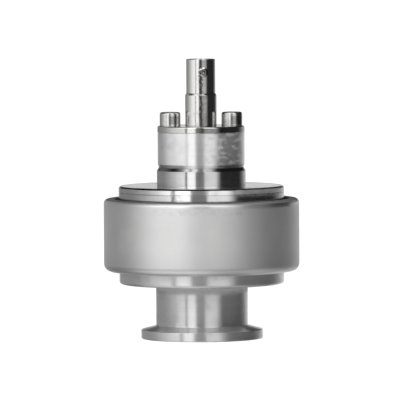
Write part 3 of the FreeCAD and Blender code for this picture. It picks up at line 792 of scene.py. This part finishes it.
def grid_faces(rows, columns, closed_rows):
    """Quads of a grid whose columns close on themselves, and whose rows may close too."""
    last = rows if closed_rows else rows - 1
    row = np.arange(last)[:, None]
    column = np.arange(columns)[None, :]
    here = row * columns + column
    beside = row * columns + (column + 1) % columns
    above = ((row + 1) % rows) * columns + column
    above_beside = ((row + 1) % rows) * columns + (column + 1) % columns
    return np.stack([here, beside, above_beside, above], -1).reshape(-1, 4).tolist()


def turned_mesh(name, outline, around):
    """Closed outline turned about Z: x = r cos a, y = r sin a, z = level."""
    section, marks = rounded_outline(outline)
    angle = np.arange(around) * FULL_TURN / around
    radius = section[:, 0][:, None]
    level = np.repeat(section[:, 1][:, None], around, 1)
    vertices = np.stack([radius * np.cos(angle), radius * np.sin(angle), level], -1).reshape(-1, 3)
    faces = grid_faces(len(section), around, True)
    return mesh_of(name, vertices, faces, np.repeat(marks, around))


def place(piece, material, slot, *nodes):
    """Gives a piece its material and body, and hides the nodes that it stands for. Its slot is not used.
    """
    piece.data.materials.append(material)
    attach(piece, "root")
    if nodes:
        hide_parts(*nodes)


def gauge_body_outline():
    """Flange, neck, carrier disc and chamber tube."""
    carrier, bottom, tube_top = box_mm("gauge_body")
    _, carrier_top, _ = box_mm("magnet_casing")
    _, plate_bottom, _ = box_mm("lower_cathode_plate")
    _, clip_bottom, _ = box_mm("retaining_circlip")
    cone = FLANGE_RIM_HEIGHT + (FLANGE_RADIUS - NECK_RADIUS) * math.tan(math.radians(FLANGE_CONE_DEG))
    groove = CHAMBER_RADIUS + GROOVE_DEPTH
    return [
        (RECESS_RADIUS, bottom),
        (FLANGE_RADIUS, bottom, FLANGE_EDGE_RADIUS),
        (FLANGE_RADIUS, FLANGE_RIM_HEIGHT, FLANGE_EDGE_RADIUS),
        (NECK_RADIUS, cone, FLANGE_ROOT_RADIUS),
        (NECK_RADIUS, NECK_HEIGHT),
        (carrier, NECK_HEIGHT, CARRIER_EDGE_RADIUS),
        (carrier, carrier_top),
        (NECK_RADIUS, carrier_top),
        (NECK_RADIUS, tube_top),
        (CHAMBER_RADIUS, tube_top),
        (CHAMBER_RADIUS, plate_bottom),
        (groove, plate_bottom),
        (groove, clip_bottom - GROOVE_CLEARANCE),
        (CHAMBER_RADIUS, clip_bottom - GROOVE_CLEARANCE),
        (CHAMBER_RADIUS, RECESS_DEPTH),
        (RECESS_RADIUS, RECESS_DEPTH),
    ]


def casing_outline():
    """Thick cup with large outer corners."""
    radius, bottom, top = box_mm("magnet_casing")
    pocket = radius - CASING_WALL
    return [
        (STACK_BORE, bottom),
        (radius, bottom, CASING_CORNER_RADIUS),
        (radius, top, CASING_CORNER_RADIUS),
        (pocket, top),
        (pocket, bottom + CASING_WEB),
        (STACK_BORE, bottom + CASING_WEB),
    ]


def pole_plate_outline():
    """Disc with its top edge broken at the seam under the lid."""
    radius, bottom, top = box_mm("upper_pole_plate")
    return [
        (STACK_BORE, bottom),
        (radius, bottom),
        (radius, top - SEAM_CHAMFER, SEAM_EDGE_BREAK),
        (radius - SEAM_CHAMFER, top, SEAM_EDGE_BREAK),
        (STACK_BORE, top),
    ]


def top_flange_outline():
    """Lid disc, collar, spigot and insulator seat."""
    radius, spigot_bottom, top = box_mm("top_flange")
    _, _, seam = box_mm("upper_pole_plate")
    lid_top = seam + LID_THICKNESS
    return [
        (SEAT_BORE, seam),
        (SPIGOT_RADIUS - SPIGOT_WALL, seam),
        (SPIGOT_RADIUS - SPIGOT_WALL, spigot_bottom),
        (SPIGOT_RADIUS, spigot_bottom),
        (SPIGOT_RADIUS, seam),
        (radius - SEAM_CHAMFER, seam, SEAM_EDGE_BREAK),
        (radius, seam + SEAM_CHAMFER, SEAM_EDGE_BREAK),
        (radius, lid_top - LID_CHAMFER, LID_EDGE_BREAK),
        (radius - LID_CHAMFER, lid_top, LID_EDGE_BREAK),
        (COLLAR_RADIUS, lid_top, SHARP),
        (COLLAR_RADIUS, top - COLLAR_CHAMFER_HEIGHT),
        (COLLAR_RADIUS - COLLAR_CHAMFER_DEPTH, top),
        (SEAT_RADIUS, top),
        (SEAT_RADIUS, top - SEAT_DEPTH),
        (SEAT_BORE, top - SEAT_DEPTH),
    ]


def cap_outline():
    """Cap with a chamfered foot and a cavity."""
    radius, bottom, top = box_mm("cap_body")
    return [
        (CAP_FLOOR_BORE, bottom),
        (radius - CAP_CHAMFER_DEPTH, bottom),
        (radius, bottom + CAP_CHAMFER_HEIGHT),
        (radius, top - SEAM_CHAMFER, SEAM_EDGE_BREAK),
        (radius - SEAM_CHAMFER, top, SEAM_EDGE_BREAK),
        (CAP_CAVITY_RADIUS, top),
        (CAP_CAVITY_RADIUS, bottom + CAP_FLOOR_THICKNESS),
        (CAP_FLOOR_BORE, bottom + CAP_FLOOR_THICKNESS),
    ]


def cap_plate_outline():
    """Plate with a broken lower edge and a rounded upper one."""
    radius, bottom, top = box_mm("cap_plate")
    return [
        (PLATE_BORE, bottom),
        (radius - SEAM_CHAMFER, bottom, SEAM_EDGE_BREAK),
        (radius, bottom + SEAM_CHAMFER, SEAM_EDGE_BREAK),
        (radius, top, PLATE_EDGE_RADIUS),
        (PLATE_BORE, top),
    ]


def shell_outline():
    """Bayonet barrel, its shoulder, the stouter base barrel and the tail."""
    _, bottom, top = box_mm("connector_shell")
    _, _, plate_top = box_mm("cap_plate")
    shoulder = top - BARREL_HEIGHT
    return [
        (SHELL_CORE, bottom),
        (SHELL_TAIL_RADIUS, bottom),
        (SHELL_TAIL_RADIUS, plate_top),
        (BASE_BARREL_RADIUS, plate_top),
        (BASE_BARREL_RADIUS, shoulder - SHOULDER_HEIGHT),
        (BARREL_RADIUS, shoulder),
        (BARREL_RADIUS, top, BARREL_EDGE_RADIUS),
        (SHELL_BORE, top, BARREL_EDGE_RADIUS),
        (SHELL_BORE, top - SHELL_BORE_DEPTH),
        (SHELL_CORE, top - SHELL_BORE_DEPTH),
    ]


def hexagon(across_flats, angle):
    """Distance from the axis to a hexagon: half its width over the cosine from the flat's middle."""
    sector = math.pi / 3
    from_flat = (angle + sector / 2) % sector - sector / 2
    return across_flats / 2 / np.cos(from_flat)


def socket_screw(name, x):
    """Socket head screw as rows of a grid: x = x0 + r cos a, y = r sin a, z = level.

    Up the socket the radius is a hexagon's. Over the mouth it goes evenly from the hexagon
    to a circle, while the level rises along a parabola. The rows then go over the rounded
    rim, down the head, in under it and down the shank to the point.
    """
    _, point, top = box_mm("cap_screws")
    _, _, head_bottom = box_mm("cap_plate")
    angle = np.arange(AROUND_SMALL) * FULL_TURN / AROUND_SMALL
    circle = np.ones(AROUND_SMALL)
    socket = hexagon(SOCKET_ACROSS_FLATS, angle)
    mouth_reach = SOCKET_ACROSS_FLATS / math.sqrt(3) + SOCKET_MOUTH
    share = np.linspace(0, 1, SOCKET_MOUTH_ROWS)[:, None]
    mouth = (1 - share) * socket + share * mouth_reach
    mouth_level = top - SOCKET_MOUTH * (1 - share) ** 2
    outline = [
        (0.0, point, SHARP),
        (SCREW_RADIUS - SCREW_POINT, point, SEAM_EDGE_BREAK),
        (SCREW_RADIUS, point + SCREW_POINT, SEAM_EDGE_BREAK),
        (SCREW_RADIUS, head_bottom, SCREW_HEAD_CORNER),
        (SCREW_HEAD_RADIUS, head_bottom, SCREW_HEAD_CORNER),
        (SCREW_HEAD_RADIUS, top, SCREW_HEAD_EDGE_RADIUS),
        (0.0, top, SHARP),
    ]
    section, _ = rounded_outline(outline)
    outside = section[SHARP_POINTS:-SHARP_POINTS][::-1]
    floor = top - SOCKET_DEPTH
    radius = np.vstack([0 * circle, socket - SOCKET_FLOOR_CORNER, socket, mouth,
                        outside[:, :1] * circle, 0 * circle])
    level = np.concatenate([[floor, floor, floor + SOCKET_FLOOR_CORNER], mouth_level[:, 0],
                            outside[:, 1], [point]])[:, None] * circle
    vertices = np.stack([x + radius * np.cos(angle), radius * np.sin(angle), level], -1).reshape(-1, 3)
    faces = grid_faces(len(radius), AROUND_SMALL, False)
    made = mesh_of(name, vertices, [face[::-1] for face in faces])
    close_poles(made)
    made.data.set_sharp_from_angle(angle=math.radians(SCREW_SHARP_DEG))
    return made


def close_poles(piece):
    """Merges points that lie on each other, which closes the poles, and turns faces outward."""
    work = bmesh.new()
    work.from_mesh(piece.data)
    bmesh.ops.remove_doubles(work, verts=work.verts, dist=MERGE_DISTANCE)
    bmesh.ops.dissolve_degenerate(work, dist=MERGE_DISTANCE / 10, edges=work.edges)
    bmesh.ops.recalc_face_normals(work, faces=work.faces)
    work.to_mesh(piece.data)
    work.free()


def lug(name, azimuth_deg):
    """Bayonet lug: rings about its own axis, which points outward from the barrel.

    At angle t a ring of radius r lies on the barrel at the distance sqrt(R^2 - (r cos t)^2)
    along the axis, where R is the barrel's radius. From there the flare climbs a quarter
    ellipse to the lug's side, a quarter circle rounds the outer end, and the end's middle
    sinks along half a cosine wave. The flare carries a painted highlight above and below
    the lug and painted shade beside it, and painted shade rings the dimple.
    """
    _, _, top = box_mm("connector_shell")
    angle = np.arange(AROUND_LUG) * FULL_TURN / AROUND_LUG
    climb = np.linspace(0, math.pi / 2, LUG_FLARE_ROWS)
    edge = np.linspace(0, math.pi / 2, LUG_EDGE_ROWS)
    inward = np.linspace(0, math.pi, LUG_DIMPLE_ROWS)
    flare = LUG_RADIUS + LUG_ROOT_FLARE * (1 - np.sin(climb))
    seat = np.sqrt(BARREL_RADIUS ** 2 - (flare[:, None] * np.cos(angle)) ** 2) - LUG_SINK
    flare_distance = seat + LUG_ROOT_RISE * (1 - np.cos(climb))[:, None]
    end_distance = LUG_TIP - LUG_EDGE_RADIUS * (1 - np.sin(edge))
    end_radius = LUG_RADIUS - LUG_EDGE_RADIUS * (1 - np.cos(edge))
    dimple_distance = LUG_TIP - LUG_DIMPLE_DEPTH * (1 - np.cos(inward)) / 2
    dimple_radius = LUG_DIMPLE_RADIUS * (1 - inward / math.pi)
    root = [LUG_ROOT_RADIUS, LUG_ROOT_RADIUS]
    straight = np.ones((1, AROUND_LUG))
    outer_distance = np.concatenate([end_distance, dimple_distance])[:, None]
    distance = np.vstack([np.array(root)[:, None] * straight, flare_distance, outer_distance * straight])
    radius = np.concatenate([[0.0, flare[0]], flare, end_radius, dimple_radius])[:, None]
    azimuth = math.radians(azimuth_deg)
    outward = np.array([math.cos(azimuth), math.sin(azimuth), 0.0])
    sideways = np.array([-math.sin(azimuth), math.cos(azimuth), 0.0])
    upward = np.array([0.0, 0.0, 1.0])
    ring = np.cos(angle)[:, None] * sideways + np.sin(angle)[:, None] * upward
    vertices = distance[:, :, None] * outward + radius[:, :, None] * ring
    vertices = vertices.reshape(-1, 3) + (top - LUG_FROM_TOP) * upward
    # Painted highlight on the flare above and below the lug, painted shade beside it and round the dimple
    marks = np.zeros((len(distance), AROUND_LUG))
    flare_end = len(root) + LUG_FLARE_ROWS
    marks[len(root):flare_end - 1] = (LUG_HIGHLIGHT * np.abs(np.sin(angle)) - LUG_HIGHLIGHT_LOSS).clip(*LUG_MARKS)
    shaded_from = flare_end + LUG_EDGE_ROWS - LUG_SHADED_EDGE_ROWS
    marks[shaded_from:-LUG_UNSHADED_MIDDLE_ROWS] = LUG_RING_SHADE
    made = mesh_of(name, vertices, grid_faces(len(distance), AROUND_LUG, False), marks.ravel())
    close_poles(made)
    return made


# Finishes
# The neck's dull coat is painted shade under the carrier
turned_steel = turned_finish(
    "turned_steel", level=0.77, rough=0.29, brushed=0.945, ring_depth=0.0006, smudge=0.4,
    metallic=0.87, film_and_painted_light=neck_painted_shade, film_and_painted_level=0.35, haze_rough=0.6)
# Lid: front painted lighter, a dull coat with painted light on its right, painted shade on its upper edge
# and under the cap
polished_steel = turned_finish(
    "polished_steel", level=0.70, rough=0.15, brushed=0.5, ring_depth=0.0003, smudge=0.3,
    painted_light=lid_painted_light, film_and_painted_light=lid_film_and_light, grime=flange_painted_shade)
# Cap: left side painted lighter and more satin, real smears, painted shade round its groove
cap_steel = turned_finish(
    "cap_steel", level=0.93, rough=0.32, brushed=0.955, ring_depth=0.0006, smudge=0.5,
    metallic=0.84, painted_light=cap_painted_light, painted_light_satin=0.4, film_and_painted_light=cap_smears, film_and_painted_level=0.7,
    haze_rough=0.2, grime=cap_painted_shade)
# Pole plate: front painted lighter, a dull coat with painted light on its right, painted shade at the
# groove
nickel_iron = turned_finish(
    "nickel_iron", level=0.66, rough=0.12, brushed=0.5, ring_depth=0.0003, smudge=0.3,
    painted_light=pole_plate_painted_light, film_and_painted_light=pole_plate_film_and_light, grime=groove_painted_shade)
blasted_casing = casing_finish(
    "blasted_casing", level=0.92, rough=0.46, metallic=0.90, grain_depth=0.012)
# Plate: left side painted lighter, painted shade right of its front
nickel_plate = plated_finish(
    "nickel_plate", level=0.66, rough=0.13, wave=0.012, painted_light=plate_painted_light, painted_shade_zone=plate_painted_shade)
# Barrel: left side painted lighter, painted shade and a dark painted streak on its right
barrel_nickel = plated_finish(
    "barrel_nickel", level=0.68, rough=0.15, wave=0.02, painted_light=barrel_painted_light, painted_shade_zone=barrel_painted_shade)
# Screws: painted shade on the right of each head
screw_steel = plated_finish(
    "screw_steel", level=0.72, rough=0.22, wave=0.006, warmth=0.003, painted_shade_zone=screw_painted_shade)
titanium = drawn_finish("titanium_sheet", grey(0.42, 0.03), rough=0.42, grain=0.004)
anode_metal = drawn_finish("anode_metal", grey(0.5, 0.005), rough=0.28, grain=0.002)
gold = drawn_finish("gold_contact", (0.86, 0.62, 0.26, 1.0), rough=0.2, grain=0.001)
ferrite = dull_finish(
    "magnet_ferrite", dark=grey(0.03), light=grey(0.06), rough=0.6, grain=0.01, cells=3000.0)
alumina = dull_finish(
    "alumina", dark=(0.76, 0.74, 0.68, 1.0), light=(0.86, 0.85, 0.8, 1.0), rough=0.3,
    grain=0.002, cells=4000.0)
rubber = dull_finish(
    "seal_rubber", dark=grey(0.012), light=grey(0.03), rough=0.55, grain=0.006, cells=5000.0)
fluoropolymer = dull_finish(
    "white_insulator", dark=grey(0.72, 0.01), light=grey(0.85, 0.01), rough=0.42,
    grain=0.002, cells=3500.0)

# Turned pieces that stand for nodes in view: name, outline, points around, finish, slot, node
TURNED_PIECES = [
    ("gauge_body_turned", gauge_body_outline(), AROUND_LARGE, turned_steel, "turned_steel",
     "gauge_body"),
    ("magnet_casing_blasted", casing_outline(), AROUND_LARGE, blasted_casing, "blasted_casing",
     "magnet_casing"),
    ("upper_pole_plate_turned", pole_plate_outline(), AROUND_LARGE, nickel_iron, "nickel_iron",
     "upper_pole_plate"),
    ("top_flange_turned", top_flange_outline(), AROUND_LARGE, polished_steel, "polished_steel",
     "top_flange"),
    ("cap_body_turned", cap_outline(), AROUND_LARGE, cap_steel, "polished_steel", "cap_body"),
    ("cap_plate_plated", cap_plate_outline(), AROUND_LARGE, nickel_plate, "nickel_plate", "cap_plate"),
    ("connector_shell_plated", shell_outline(), AROUND_SMALL, barrel_nickel, "nickel_plate",
     "connector_shell"),
]
for name, outline, around, finish, slot, node in TURNED_PIECES:
    place(turned_mesh(name, outline, around), finish, slot, node)
for side, azimuth in (("front", LUG_AZIMUTH_DEG), ("back", LUG_AZIMUTH_DEG + 180)):
    place(lug("bayonet_lug_" + side, azimuth), barrel_nickel, "nickel_plate")
screw_reach, _, _ = box_mm("cap_screws")
for side, sign in (("right", 1), ("left", -1)):
    screw_x = sign * (screw_reach - SCREW_HEAD_RADIUS)
    place(socket_screw("cap_screw_" + side, screw_x), screw_steel, "screw_steel", "cap_screws")

# Materials of the nodes that keep their own mesh
NODE_MATERIALS = {
    "lower_pole_plate": nickel_iron,
    "lower_magnet": ferrite,
    "upper_magnet": ferrite,
    "cathode_sleeve": titanium,
    "lower_cathode_plate": titanium,
    "upper_cathode_plate": titanium,
    "retaining_circlip": screw_steel,
    "anode_ring": anode_metal,
    "anode_rod": anode_metal,
    "ignition_aid": anode_metal,
    "feedthrough_insulator": alumina,
    "feedthrough_seal": rubber,
    "rod_seal": rubber,
    "rod_washer": screw_steel,
    "rod_nut": screw_steel,
    "pressure_ring": polished_steel,
    "hv_sleeve": fluoropolymer,
    "connector_nut": nickel_plate,
    "connector_insulator": fluoropolymer,
    "connector_contact": gold,
    "contact_clip": gold,
}
for node, finish in NODE_MATERIALS.items():
    for material_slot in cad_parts[node].material_slots:
        material_slot.material = finish


def light_tent():
    """Light tent round the camera: soft panels, a dark card at the right, pale backdrop.

    The level at a direction is a sum of soft-edged windows in azimuth, from the camera's
    side towards +X, and in elevation, both in degrees.
    """
    world = bpy.data.worlds.new("light_tent")
    bpy.context.scene.world = world
    graph = Graph(world)
    x, y, z = graph.axes("Generated")
    azimuth = graph.angle("ARCTAN2", x, 0.0 - y)
    elevation = graph.angle("ARCSINE", z)
    tent = TENT_LEVEL
    for *limits, level in TENT_PANELS:
        across = graph.window(azimuth, *limits[:4])
        up = graph.window(elevation, *limits[4:])
        tent = across * up * level + tent
    behind = graph.smooth(azimuth, *BACKDROP_RIGHT) + graph.smooth(0.0 - azimuth, *BACKDROP_LEFT)
    tent = tent + behind * graph.window(elevation, *BACKDROP_RISE) * BACKDROP_LEVEL
    seen = graph.node("ShaderNodeLightPath", output="Is Camera Ray")
    strength = tent * (1.0 - seen) + seen * CAMERA_BACKGROUND
    surface = graph.node("ShaderNodeBackground", None, {"Color": (1, 1, 1, 1), "Strength": strength})
    graph.node("ShaderNodeOutputWorld", None, {"Surface": surface})


light_tent()


def floor():
    """Plain pale floor, a disc in one plane, which shows in the camera but not in the metal."""
    angle = np.arange(AROUND_SMALL) * FULL_TURN / AROUND_SMALL
    reach = FLOOR_RADIUS / MM
    vertices = np.stack([reach * np.cos(angle), reach * np.sin(angle), 0 * angle - FLOOR_DROP], -1)
    made = mesh_of("studio_floor", vertices, [list(range(AROUND_SMALL))])
    material = bpy.data.materials.new("pale_floor")
    graph = Graph(material)
    values = {"Base Color": grey(FLOOR_GREY), "Roughness": FLOOR_ROUGHNESS,
              "Emission Color": grey(1.0), "Emission Strength": FLOOR_GLOW}
    surface = graph.node("ShaderNodeBsdfPrincipled", None, values)
    graph.node("ShaderNodeOutputMaterial", None, {"Surface": surface})
    made.data.materials.append(material)
    made.visible_glossy = False


floor()


def photo_camera():
    """Camera at the photograph's place: long lens, aimed a little right of the axis."""
    aim = Vector((AIM_X_MM * MM, 0.0, AIM_Z_MM * MM))
    eye = Vector((AIM_X_MM * MM, -CAMERA_DISTANCE, CAMERA_HEIGHT))
    data = bpy.data.cameras.new("photo_camera")
    data.sensor_width = SENSOR_WIDTH_MM
    data.lens = SENSOR_WIDTH_MM * (aim - eye).length / (PHOTO_WIDTH_MM * MM)
    data.clip_start = CLIP_NEAR
    data.clip_end = CLIP_FAR
    made = bpy.data.objects.new("photo_camera", data)
    made.location = eye
    made.rotation_mode = "QUATERNION"
    turn = Quaternion((0.0, 0.0, 1.0), math.radians(-ROLL_DEG))
    made.rotation_quaternion = (aim - eye).to_track_quat("-Z", "Y") @ turn
    bpy.context.scene.collection.objects.link(made)
    bpy.context.scene.camera = made


photo_camera()
bpy.context.scene.view_settings.view_transform = "Standard"
